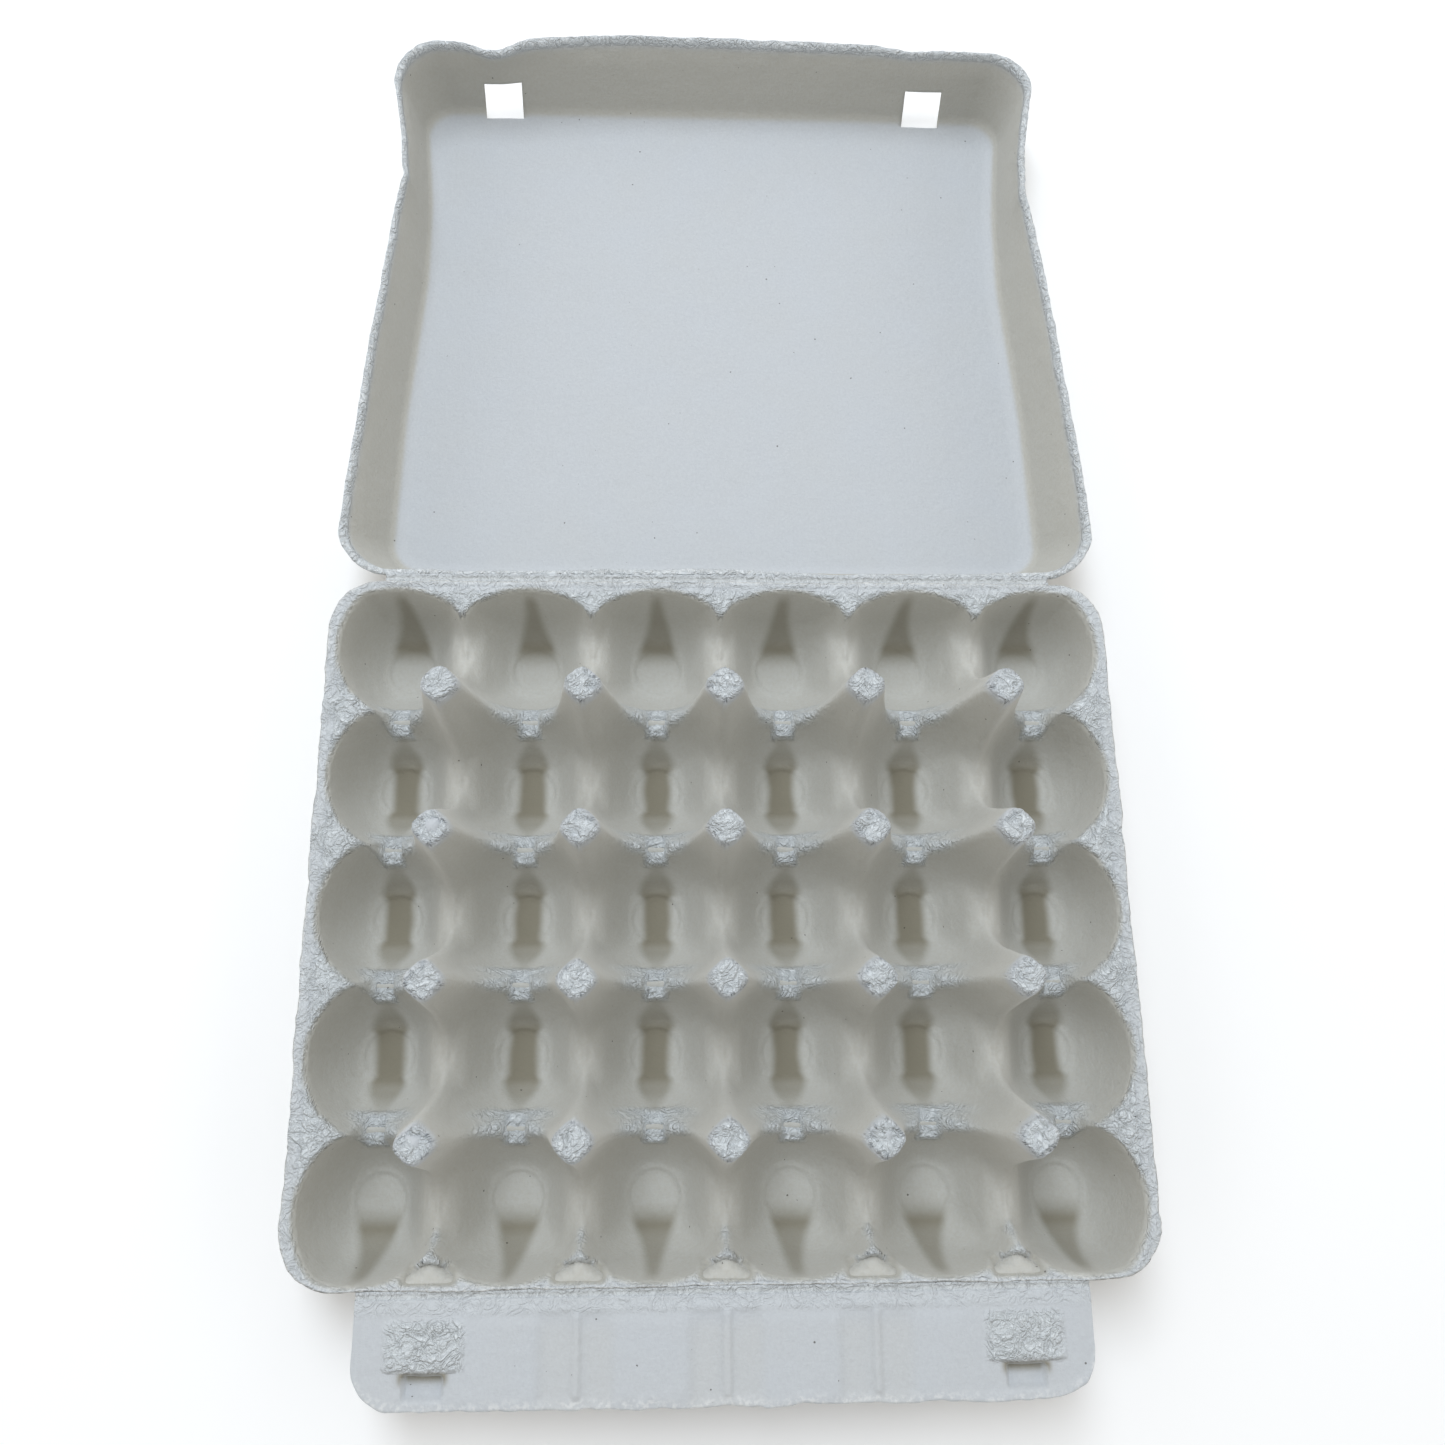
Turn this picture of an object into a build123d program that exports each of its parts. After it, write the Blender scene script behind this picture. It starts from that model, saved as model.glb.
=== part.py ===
from build123d import *
import math
import os

# Hinged egg carton of moulded pulp, opened flat: tray in the middle, lid behind (+Y), flap in front (-Y).
# Millimetres, +Z up. The carton rests on z = 0, with the origin under the middle of the open carton.

# ---- Driving dimensions ----
WALL = 2.0  # thickness of the pulp
COLUMNS = 6
ROWS = 5
PITCH_X = 48.0  # cell to cell across the carton
PITCH_Y = 48.5  # cell to cell, front to back
RIM_Z = 36.0  # top of the rims, which is also the lid's depth
POST_TOP_Z = 69.7  # top of the posts between the cells
POST_TOP_R = 6.3
POST_FOOT_R = 20.3  # a post spreads to this radius where it joins the ridges
RIDGE_Z = 23.0  # top of the ridges between the cells, away from the posts
BRIDGE_WIDTH = 7.5  # flat bridges lie across the ridges between the rows, one in the middle of each cell
BRIDGE_Z = 16.2

TRAY_WIDTH = 289.0
TRAY_BACK = 122.5  # back edge of the tray, measured from the middle of its cells
TRAY_FRONT = 120.5  # front edge, measured the same way
TRAY_CORNER_R = 18.5
FLANGE = 4.2  # flat rim outside the cells at the corners

CREASE = 2.0  # width of each crease, edge to edge
CREASE_T = 0.8  # thickness of the pulp in a crease
AXIS_RISE = 0.15  # both fold lines stand this far above the rims, so the closed rims stay 0.3 apart

LID_CORNER_R = 20.0
LID_DRAFT = 18.0  # degrees by which the lid's walls lean out from the vertical
LID_EDGE_R = 8.0  # outside radius between the lid's panel and its walls
FLAP_GAP = 0.35  # between the folded flap and the closed lid's front wall, at the flap's root

FLAP_WIDTH = 237.0
FLAP_LENGTH = 33.0
FLAP_CORNER_R = 14.0
FLAP_FOLD = 110.0  # degrees that the flap folds up to be tucked behind the lid's front wall

LUG_X = 96.0  # the two lugs and the two slots stand this far from the middle
LUG_WIDTH = 15.0
LUG_START = 21.0  # from the flap's root to the lug's catch
LUG_LENGTH = 9.0
LUG_DEPTH = 3.2  # how far a lug stands out of the flap's outer face
LUG_WALL = 1.5
SLOT_WIDTH = 17.5
SLOT_LOW_Z = 3.0
SLOT_HIGH_Z = 17.5
RIB_WIDTH = 3.0
RIB_LENGTH = 25.0
RIB_HEIGHT = 0.9
RIB_START = 4.5

# A cell's inside, as (radius, height) from its floor up to the top of the posts.
CELL = [(8.5, WALL), (12.5, 4.2), (16.6, 9.0), (20.2, 15.0), (22.8, 22.0), (25.6, RIM_Z), (28.65, POST_TOP_Z)]
# The broad ridges between the columns: the wall that faces the cell's middle, measured the same way.
RIDGE_WALL = [(8.5, WALL), (10.5, 3.6), (15.6, 13.5), (18.0, 19.0), (22.0, RIDGE_Z)]
# The walls that hold the outer cells in from the rim. Each is part of a rounder, wider bowl.
SIDE_LIMIT = [(16.5, 0.0), (24.8, 14.4), (28.3, RIM_Z), (31.0, POST_TOP_Z)]
SIDE_REACH = 140.5  # from the middle to the outermost point of a side cell, at the rim
END_LIMIT = [(26.0, 0.0), (33.5, 14.4), (36.5, RIM_Z), (39.0, POST_TOP_Z)]
END_REACH = 119.0  # the same for a cell in the front or the back row

POCKET_WIDTH = 17.0  # pockets in the front rim, one at each line of posts
POCKET_BACK = 113.0
POCKET_FRONT = 118.2
POCKET_FLOOR_Z = 29.0

# ---- Derived places ----
ABOVE = POST_TOP_Z + 4  # cutters run up to here, clear of the posts
BELOW = -10.0  # the blocks that the tray is cut from start here
LID_AXIS_Y = TRAY_BACK + CREASE / 2
FLAP_AXIS_Y = -TRAY_FRONT - CREASE / 2
AXIS_Z = RIM_Z + AXIS_RISE
FLAP_ROOT_Y = FLAP_AXIS_Y - CREASE / 2
FLAP_TIP_Y = FLAP_ROOT_Y - FLAP_LENGTH

lean = math.radians(FLAP_FOLD - 90)  # the folded flap leans back by this much
draft = math.tan(math.radians(LID_DRAFT))
under_axis = WALL + AXIS_RISE
# The lower outside corner of the folded flap, seen from the fold line.
root_out = under_axis * math.cos(lean) - CREASE / 2 * math.sin(lean)
root_up = under_axis * math.sin(lean) + CREASE / 2 * math.cos(lean)
closed_inside_y = FLAP_AXIS_Y - root_out - FLAP_GAP - (root_up - AXIS_RISE) * draft
wall_across = WALL / math.cos(math.radians(LID_DRAFT))  # a sloped wall's thickness, measured level
LID_BACK = LID_AXIS_Y + CREASE / 2
LID_FRONT = 2 * LID_AXIS_Y - closed_inside_y + wall_across
SHIFT_Y = -(LID_FRONT + FLAP_TIP_Y) / 2  # puts the origin under the middle of the open carton

cell_x = [(i - (COLUMNS - 1) / 2) * PITCH_X for i in range(COLUMNS)]
cell_y = [(j - (ROWS - 1) / 2) * PITCH_Y for j in range(ROWS)]
post_x = [(i - (COLUMNS - 2) / 2) * PITCH_X for i in range(COLUMNS - 1)]
post_y = [(j - (ROWS - 2) / 2) * PITCH_Y for j in range(ROWS - 1)]


def grown(profile, grow):
    """The (radius, height) points of a bowl's wall, moved out of the bowl by grow."""
    moved = []
    for k, (radius, height) in enumerate(profile):
        before = profile[max(k - 1, 0)]
        after = profile[min(k + 1, len(profile) - 1)]
        first = math.atan2(height - before[1], radius - before[0]) if k else 0.0
        last = math.atan2(after[1] - height, after[0] - radius) if k < len(profile) - 1 else first
        middle = (first + last) / 2
        reach = grow / math.cos((last - first) / 2)
        moved.append((radius + reach * math.sin(middle), height - reach * math.cos(middle)))
    return moved


def bowl(profile, grow, center):
    """A solid bowl of revolution that stands at center and runs up clear of the posts."""
    wall = grown(profile, grow)
    with BuildPart() as turned:
        with BuildSketch(Plane.XZ):
            with BuildLine():
                Polyline((0, wall[0][1]), *wall, (wall[-1][0], ABOVE), (0, ABOVE), close=True)
            make_face()
        revolve(axis=Axis.Z)
    return turned.part.moved(Location((center[0], center[1], 0)))


def ridge_limit(grow, center):
    """The space between the column ridges on both sides of a cell, open above the ridges."""
    wall = grown(RIDGE_WALL, grow)
    with BuildPart() as space:
        with BuildSketch(Plane.XZ):
            with BuildLine():
                Polyline(
                    (0, wall[0][1]), *wall, (PITCH_X, wall[-1][1]), (PITCH_X, ABOVE), (0, ABOVE), close=True
                )
            make_face()
            mirror(about=Plane.YZ)
        extrude(amount=PITCH_Y, both=True)
    return space.part.moved(Location((center[0], center[1], 0)))


def cell_cutter(x, y, grow):
    """One cell, held in from the rim where it is an outer one."""
    at_side = abs(x) == max(cell_x)
    at_end = abs(y) == max(cell_y)
    with BuildPart() as cell:
        add(bowl(CELL, grow, (x, y)))
        add(ridge_limit(grow, (x, y)), mode=Mode.INTERSECT)
        if at_side:
            side_x = math.copysign(SIDE_REACH - SIDE_LIMIT[2][0], x)
            add(bowl(SIDE_LIMIT, grow, (side_x, y)), mode=Mode.INTERSECT)
        if at_end:
            end_y = math.copysign(END_REACH - END_LIMIT[2][0], y)
            add(bowl(END_LIMIT, grow, (x, end_y)), mode=Mode.INTERSECT)
        if at_side and at_end:
            with BuildSketch(Plane.XY.offset(BELOW)):
                tray_outline(FLANGE - grow)
            extrude(amount=ABOVE - BELOW, mode=Mode.INTERSECT)
    return cell.part


def tray_outline(inset):
    """The tray's outline, a rounded rectangle, drawn in by inset on every side."""
    with Locations((0, (TRAY_BACK - TRAY_FRONT) / 2)):
        RectangleRounded(
            TRAY_WIDTH - 2 * inset, TRAY_BACK + TRAY_FRONT - 2 * inset, TRAY_CORNER_R - inset
        )


def tray_body(grow, outline_inset):
    """Everything below one face of the pulp: the upper face with grow = 0, the lower one with grow = WALL."""
    with BuildPart() as body:
        with BuildSketch(Plane.XY.offset(BELOW - grow)):
            tray_outline(outline_inset)
        extrude(amount=RIM_Z - BELOW)
        with BuildSketch(Plane.XY.offset(RIDGE_Z - grow)):
            Rectangle(2 * max(cell_x), 2 * max(cell_y))
        extrude(amount=RIM_Z, mode=Mode.SUBTRACT)
        with Locations(*[(x, y, RIDGE_Z - grow) for x in post_x for y in post_y]):
            Cone(
                POST_FOOT_R - grow, POST_TOP_R - grow, POST_TOP_Z - RIDGE_Z,
                align=(Align.CENTER, Align.CENTER, Align.MIN),
            )
        for x in cell_x:
            for y in cell_y:
                add(cell_cutter(x, y, grow), mode=Mode.SUBTRACT)
        with Locations(*[(x, y, BRIDGE_Z - grow) for x in cell_x for y in post_y]):
            Box(
                BRIDGE_WIDTH + 2 * grow, PITCH_Y / 2, RIM_Z,
                align=(Align.CENTER, Align.CENTER, Align.MIN), mode=Mode.SUBTRACT,
            )
        with Locations(*[(x, -(POCKET_BACK + POCKET_FRONT) / 2, POCKET_FLOOR_Z - grow) for x in post_x]):
            Box(
                POCKET_WIDTH + 2 * grow, POCKET_FRONT - POCKET_BACK + 2 * grow, RIM_Z,
                align=(Align.CENTER, Align.CENTER, Align.MIN), mode=Mode.SUBTRACT,
            )
    return body.part


os.makedirs("parts", exist_ok=True)

# ---- Tray: the pulp lies between its upper and its lower face ----
with BuildPart() as tray:
    add(tray_body(0, 0).moved(Location((0, SHIFT_Y, 0))))
    add(tray_body(WALL, -WALL).moved(Location((0, SHIFT_Y, 0))), mode=Mode.SUBTRACT)
tray.part.label = "tray"
export_step(tray.part, "parts/tray.step")


def lid_outline(inset, corner_r):
    """The lid's outline, drawn in by inset on every side."""
    with Locations((0, (LID_BACK + LID_FRONT) / 2 + SHIFT_Y)):
        RectangleRounded(TRAY_WIDTH - 2 * inset, LID_FRONT - LID_BACK - 2 * inset, corner_r)


# ---- Lid: a deep open dish with sloped walls, its panel down ----
with BuildPart() as lid_hollow:
    with BuildSketch(Plane.XY.offset(RIM_Z)):
        lid_outline(wall_across, LID_CORNER_R - wall_across)
    extrude(amount=-(RIM_Z - WALL), taper=LID_DRAFT)
    fillet(lid_hollow.edges().group_by(Axis.Z)[0], LID_EDGE_R - WALL)
with BuildPart() as lid:
    with BuildSketch(Plane.XY.offset(RIM_Z)):
        lid_outline(0, LID_CORNER_R)
    extrude(amount=-RIM_Z, taper=LID_DRAFT)
    fillet(lid.edges().group_by(Axis.Z)[0], LID_EDGE_R)
    add(lid_hollow.part, mode=Mode.SUBTRACT)
    with Locations(*[(side * LUG_X, LID_FRONT + SHIFT_Y, SLOT_LOW_Z) for side in (-1, 1)]):
        Box(
            SLOT_WIDTH, 2 * (RIM_Z * draft + wall_across), SLOT_HIGH_Z - SLOT_LOW_Z,
            align=(Align.CENTER, Align.CENTER, Align.MIN), mode=Mode.SUBTRACT,
        )
lid.part.label = "lid"
export_step(lid.part, "parts/lid.step")

# ---- Locking flap: a flat tongue with hollow lugs on its outer (lower) face and ribs on its inner face ----
flap_middle_y = (FLAP_ROOT_Y + FLAP_TIP_Y) / 2 + SHIFT_Y
lug_middle_y = FLAP_ROOT_Y - LUG_START - LUG_LENGTH / 2 + SHIFT_Y
rib_middle_y = FLAP_ROOT_Y - RIB_START - RIB_LENGTH / 2 + SHIFT_Y
lug_places = [(side * LUG_X, lug_middle_y) for side in (-1, 1)]
with BuildPart() as locking_flap:
    with BuildSketch(Plane.XY.offset(RIM_Z - WALL)) as flap_outline:
        with Locations((0, flap_middle_y)):
            Rectangle(FLAP_WIDTH, FLAP_LENGTH)
        fillet(flap_outline.vertices().group_by(Axis.Y)[0], FLAP_CORNER_R)
    extrude(amount=WALL)
    with BuildSketch(Plane.XY.offset(RIM_Z - WALL)):
        with Locations(*lug_places):
            RectangleRounded(LUG_WIDTH, LUG_LENGTH, LUG_WALL)
    extrude(amount=-LUG_DEPTH)
    with BuildSketch(Plane.XY.offset(RIM_Z)):
        with Locations(*lug_places):
            Rectangle(LUG_WIDTH - 2 * LUG_WALL, LUG_LENGTH - 2 * LUG_WALL)
    extrude(amount=-(LUG_DEPTH + WALL - LUG_WALL), mode=Mode.SUBTRACT)
    with BuildSketch(Plane.XY.offset(RIM_Z)):
        with Locations(*[(x, rib_middle_y) for x in post_x[1:-1]]):
            Rectangle(RIB_WIDTH, RIB_LENGTH)
    extrude(amount=RIB_HEIGHT)
locking_flap.part.label = "locking_flap"
export_step(locking_flap.part, "parts/locking_flap.step")


# ---- Creases: thin strips of the same pulp, flush with the tops of the rims ----
def crease_strip(width, middle_y):
    """A thin crease along X, from one rim's edge to the next."""
    with BuildPart() as strip:
        with Locations((0, middle_y + SHIFT_Y, RIM_Z)):
            Box(width, CREASE, CREASE_T, align=(Align.CENTER, Align.CENTER, Align.MAX))
    return strip


lid_crease = crease_strip(TRAY_WIDTH - 2 * LID_CORNER_R, LID_AXIS_Y)
lid_crease.part.label = "lid_crease"
export_step(lid_crease.part, "parts/lid_crease.step")

flap_crease = crease_strip(FLAP_WIDTH, FLAP_AXIS_Y)
flap_crease.part.label = "flap_crease"
export_step(flap_crease.part, "parts/flap_crease.step")

print("lid fold line at y", round(LID_AXIS_Y + SHIFT_Y, 3), "z", AXIS_Z)
print("flap fold line at y", round(FLAP_AXIS_Y + SHIFT_Y, 3), "z", AXIS_Z)
print("middle of the cells at y", round(SHIFT_Y, 3), "lid front at y", round(LID_FRONT + SHIFT_Y, 3))
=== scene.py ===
"""Looks of a hinged moulded-pulp egg carton, lying open: tray, lid, locking flap and two creases."""

import math

import bpy
import numpy as np
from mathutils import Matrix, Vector


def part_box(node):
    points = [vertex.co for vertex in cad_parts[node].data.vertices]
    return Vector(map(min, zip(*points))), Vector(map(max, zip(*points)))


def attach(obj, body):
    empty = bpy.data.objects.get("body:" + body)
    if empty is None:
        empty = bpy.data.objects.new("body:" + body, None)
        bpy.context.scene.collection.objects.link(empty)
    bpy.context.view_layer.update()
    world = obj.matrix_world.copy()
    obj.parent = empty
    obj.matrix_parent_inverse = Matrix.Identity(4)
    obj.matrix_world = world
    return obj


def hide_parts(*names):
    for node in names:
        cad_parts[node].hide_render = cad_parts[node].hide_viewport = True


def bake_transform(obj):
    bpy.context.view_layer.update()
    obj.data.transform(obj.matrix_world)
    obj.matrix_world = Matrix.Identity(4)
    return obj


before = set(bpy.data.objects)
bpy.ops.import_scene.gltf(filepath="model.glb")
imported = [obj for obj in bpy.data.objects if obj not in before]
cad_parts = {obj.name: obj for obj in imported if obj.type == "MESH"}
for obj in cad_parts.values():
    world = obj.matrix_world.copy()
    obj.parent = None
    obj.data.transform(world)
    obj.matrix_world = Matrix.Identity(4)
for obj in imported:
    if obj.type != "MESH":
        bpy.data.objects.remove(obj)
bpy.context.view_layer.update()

MM = 0.001

# ---- Sizes in millimetres, as in the CAD model ----
WALL = 2.0
PITCH_X, PITCH_Y = 48.0, 48.5
COLUMNS, ROWS = 6, 5
HALF_X, HALF_Y = PITCH_X / 2, PITCH_Y / 2
RIM_Z = 36.0
POST_Z = 69.7
CELL_X, CELL_Y = 120.0, 97.0  # middles of the outermost cells
TRAY_HALF = 144.5
TRAY_BACK, TRAY_FRONT = 122.5, -120.5
TRAY_CORNER = 18.5
CREASE_T = 0.8
CELL_RIM_R, SIDE_RIM_R, END_RIM_R = 25.6, 28.3, 36.5  # the bowls' radii at the rim
BRIDGE_Z = 16.2

_, tray_high = (np.array(c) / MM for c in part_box("tray"))
lid_low, lid_high = (np.array(c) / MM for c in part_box("lid"))
flap_low, flap_high = (np.array(c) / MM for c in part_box("locking_flap"))
MIDDLE_Y = tray_high[1] - TRAY_BACK  # the middle of the cells, in the row frame

# A cell's inside, as (radius, height), and the wider bowls that hold the outer cells in from the rim.
# Column ridges have their own wall, measured straight across from the cell's middle.
CELL = [(0.0, 2.0), (8.6, 2.0), (12.5, 4.2), (16.6, 9.0), (20.2, 15.0), (22.8, 22.0), (24.5, 29.0)]
CELL += [(CELL_RIM_R, RIM_Z), (28.65, POST_Z), (33.0, 118.0)]
RIDGE_WALL = [(0.0, -6.0), (8.0, 0.5), (10.5, 3.6), (15.6, 13.5), (18.0, 19.0), (21.0, 22.2)]
RIDGE_WALL += [(24.0, 23.0), (40.0, 23.0)]
SIDE_WALL = [(0.0, -6.0), (16.5, 0.0), (24.8, 14.4), (SIDE_RIM_R, RIM_Z), (31.0, POST_Z), (40.0, 160.0)]
END_WALL = [(0.0, -8.0), (26.0, 0.0), (33.5, 14.4), (END_RIM_R, RIM_Z), (39.0, POST_Z), (50.0, 160.0)]
SIDE_AXIS = 140.5 - SIDE_RIM_R
END_AXIS = 119.0 - END_RIM_R


# ---- Small numeric tools ----
def smooth_step(low, high, value):
    t = np.clip((value - low) / (high - low), 0, 1)
    return t * t * (3 - 2 * t)


def soft_min(a, b, width):
    h = np.clip(0.5 + 0.5 * (b - a) / width, 0, 1)
    return b + (a - b) * h - width * h * (1 - h)


def soft_max(a, b, width):
    return -soft_min(-a, -b, width)


def rounded_profile(points, passes=4):
    """A profile with its corners cut again and again until it is a smooth curve."""
    p = np.array(points, float)
    for _ in range(passes):
        q = 0.78 * p[:-1] + 0.22 * p[1:]
        r = 0.22 * p[:-1] + 0.78 * p[1:]
        p = np.vstack([p[:1], np.stack([q, r], 1).reshape(-1, 2), p[-1:]])
    return p


def grown_profile(points, grow):
    """The profile moved out of its bowl by grow, along its normals."""
    p = np.array(points, float)
    d = np.gradient(p, axis=0)
    d /= np.linalg.norm(d, axis=1)[:, None] + 1e-9
    out = p + grow * np.c_[d[:, 1], -d[:, 0]]
    out[0, 0] = 0
    return out[np.argsort(out[:, 0], kind="stable")]


def hashed(ix, iy, iz, seed):
    """A repeatable number from 0 to 1 for each lattice point."""
    h = ix * 374761393 + iy * 668265263 + iz * 2147483647 + seed * 1274126177
    h = (h ^ (h >> 13)) * 1274126177
    h = h & 0xFFFFFFFF
    h = (h ^ (h >> 16)) * 2246822519 & 0xFFFFFFFF
    return (h & 0xFFFFFF) / float(0xFFFFFF)


def noise3(p, size, seed=0):
    """Smooth noise from -1 to 1 at points p, with lumps about size across."""
    q = np.asarray(p, float) / size
    base = np.floor(q).astype(np.int64)
    f = q - base
    f = f * f * f * (f * (f * 6 - 15) + 10)
    total = 0.0
    for cx in (0, 1):
        for cy in (0, 1):
            for cz in (0, 1):
                weight = (
                    (f[:, 0] if cx else 1 - f[:, 0])
                    * (f[:, 1] if cy else 1 - f[:, 1])
                    * (f[:, 2] if cz else 1 - f[:, 2])
                )
                total = total + weight * hashed(base[:, 0] + cx, base[:, 1] + cy, base[:, 2] + cz, seed)
    return total * 2 - 1


def fractal(p, size, seed=0, layers=3):
    """Noise with finer and finer layers added."""
    total, gain = 0.0, 1.0
    for k in range(layers):
        total = total + gain * noise3(p, size / 2**k, seed + 17 * k)
        gain *= 0.5
    return total


def creased(p, size, seed=0, layers=2):
    """Ridged noise from 0 to 1: sharp folds between soft lumps, as on wrinkled paper."""
    total, gain, norm = 0.0, 1.0, 0.0
    for k in range(layers):
        total = total + gain * (1 - np.abs(noise3(p, size / 2**k, seed + 31 * k)) * 1.6)
        norm += gain
        gain *= 0.5
    return np.clip(total / norm, 0, 1)


def vertex_normals(points, quads):
    """Area-weighted normals of a mesh given as points and quads."""
    a, b, c, d = (points[quads[:, k]] for k in range(4))
    n = np.cross(c - a, d - b)
    out = np.zeros_like(points)
    for k in range(4):
        np.add.at(out, quads[:, k], n)
    return out / (np.linalg.norm(out, axis=1)[:, None] + 1e-12)


def make_object(name, points_mm, quads, attributes):
    """A smooth-shaded mesh object. Quads that repeat a corner become triangles."""
    mesh = bpy.data.meshes.new(name)
    faces = []
    for face in quads.tolist():
        kept = list(dict.fromkeys(face))
        if len(kept) > 2:
            faces.append(kept)
    mesh.from_pydata((points_mm * MM).tolist(), [], faces)
    for key, values in attributes.items():
        layer = mesh.attributes.new(key, "FLOAT", "POINT")
        layer.data.foreach_set("value", np.asarray(values, np.float32))
    mesh.polygons.foreach_set("use_smooth", [True] * len(mesh.polygons))
    mesh.update()
    piece = bpy.data.objects.new(name, mesh)
    bpy.context.collection.objects.link(piece)
    return piece


# ---- Tray ----
SPOKES = 144  # rays round each cell
RINGS = 54  # points along each ray on the upper face
RINGS_UNDER = 22
FINE = 420  # samples used to space the points along a ray
POST_TOP_R = 6.3
POST_FOOT_R = 20.3
RIDGE_Z = 23.0
POST_SLOPE = (POST_Z - RIDGE_Z) / (POST_FOOT_R - POST_TOP_R)
ROUNDING = 6.0  # how widely neighbouring cells are blended over the ridge between them
NO_NEIGHBOUR = 999.0  # a distance for the side of a cell that has no next cell
RIM_ROUND = 1.6  # radius of the rim's inner edge
TINY, FAR = 1e-9, 1e9
WELD_STEP = 2e-4


class Surface:
    """One face of the tray's pulp as a height: the upper face, or the lower one moved in by grow."""

    def __init__(self, grow):
        self.grow = grow
        profiles = (CELL, RIDGE_WALL, SIDE_WALL, END_WALL)
        self.cell, self.ridge, self.side, self.end = (
            rounded_profile(grown_profile(p, grow) if grow else p) for p in profiles
        )
        self.rim = RIM_Z - grow
        self.top = POST_Z - grow

    def bowls(self, x, y, cx, cy):
        """The height of the cell's own wall, and how far outside its rim circle each point is."""
        r = np.hypot(x - cx, y - cy)
        outside = r - (CELL_RIM_R + self.grow)
        # Near a ridge the neighbour's wall is blended in, which rounds the ridge.
        side_x, side_y = np.where(x > cx, 1, -1), np.where(y > cy, 1, -1)
        open_x = np.abs(cx + side_x * PITCH_X) < CELL_X + 1
        open_y = np.abs(cy + side_y * PITCH_Y) < CELL_Y + 1
        next_x = np.where(open_x, np.hypot(x - cx - side_x * PITCH_X, y - cy), NO_NEIGHBOUR)
        next_y = np.where(open_y, np.hypot(x - cx, y - cy - side_y * PITCH_Y), NO_NEIGHBOUR)
        rounded = soft_min(soft_min(r, next_x, ROUNDING), next_y, ROUNDING)
        z = np.interp(rounded, self.cell[:, 0], self.cell[:, 1])
        ridge = np.interp(np.abs(x - cx), self.ridge[:, 0], self.ridge[:, 1])
        z = np.where(open_x, soft_max(z, ridge, 4.0), z)
        if abs(cx) > CELL_X - 1:
            rs = np.hypot(x - math.copysign(SIDE_AXIS, cx), y - cy)
            z = soft_max(z, np.interp(rs, self.side[:, 0], self.side[:, 1]), 2.0)
            outside = np.maximum(outside, rs - (SIDE_RIM_R + self.grow))
        if abs(cy) > CELL_Y - 1:
            re = np.hypot(x - cx, y - math.copysign(END_AXIS, cy))
            z = soft_max(z, np.interp(re, self.end[:, 0], self.end[:, 1]), 2.0)
            outside = np.maximum(outside, re - (END_RIM_R + self.grow))
        return z, outside

    def height(self, x, y, cx, cy):
        """The height of this face at points that belong to the cell at (cx, cy)."""
        dx, dy = x - cx, y - cy
        z, outside = self.bowls(x, y, cx, cy)
        near_x, near_y = HALF_X - np.abs(dx), HALF_Y - np.abs(dy)
        # The caps: posts and ridges inside, the rim outside, with rounded edges.
        cone = self.top - (np.hypot(near_x, near_y) - POST_TOP_R + self.grow) * POST_SLOPE
        post = soft_max(soft_min(cone, self.top, 1.2), RIDGE_Z - self.grow, 4.0)
        rim_out = np.clip(outside, 0, RIM_ROUND)
        rim = self.rim - (RIM_ROUND - np.sqrt(np.maximum(RIM_ROUND**2 - (RIM_ROUND - rim_out) ** 2, 0)))
        past = np.maximum(np.abs(x) - CELL_X, np.abs(y) - CELL_Y)
        width = 1.5 + 2.5 * smooth_step(20, 40, post)
        at_rim = np.minimum(z, post + (rim - post) * smooth_step(-1, 2, past))
        z = np.where(past > -1, at_rim, soft_min(z, post, width))
        if not self.grow:
            z = self.upper_details(x, y, cx, cy, z)
        return z

    def upper_details(self, x, y, cx, cy, z):
        """Bridges over the row ridges, nicks in the column ridges, the floors' rings, the front pockets."""
        dx, dy = np.abs(x - cx), np.abs(y - cy)
        off_ridge = HALF_Y - dy
        inner = ~((abs(cy) > CELL_Y - 1) & (np.sign(y - cy) == np.sign(cy)))
        ends = 12.0 * smooth_step(4.4, 8.6, off_ridge)
        bridge = BRIDGE_Z - 0.015 * off_ridge**2 - ends - 12.0 * smooth_step(2.6, 6.4, dx)
        z = np.where(inner & (off_ridge < 12), soft_max(z, bridge, 2.0), z)
        saddle = BRIDGE_Z + 3.2 * np.maximum(dx - 2.8, 0) ** 1.35
        z = np.where(inner & (off_ridge < 12), soft_min(z, saddle, 1.5), z)
        groove = np.exp(-((off_ridge / 0.8) ** 2)) + 0.7 * np.exp(-(((off_ridge - 3.6) / 0.7) ** 2))
        z = np.where(inner, z - 0.7 * groove * smooth_step(3.4, 2.4, dx), z)
        nick = np.exp(-(((HALF_X - dx - 1.2) / 0.8) ** 2) - (((y - cy) / 1.7) ** 2))
        edge_side = (abs(cx) > CELL_X - 1) & (np.sign(x - cx) == np.sign(cx))
        z = np.where(edge_side, z, z - 0.8 * nick)
        r = np.hypot(x - cx, y - cy)
        z = z - 0.35 * smooth_step(9.2, 8.4, r)
        z = z + 0.25 * np.exp(-(((r - 9.6) / 0.8) ** 2))
        if cy < -CELL_Y + 1:
            across = np.where(np.abs(x) > CELL_X, 99.0, HALF_X - dx)
            # Pressed pockets in the front rim, below the front ends of the column ridges.
            inside = smooth_step(10.5, 6.5, across) * smooth_step(-111.0, -114.5, y)
            inside = inside * smooth_step(-119.4, -116.4, y)
            z = z - 5.5 * inside * smooth_step(RIM_Z - 8, RIM_Z - 1, z)
        return z


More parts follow.
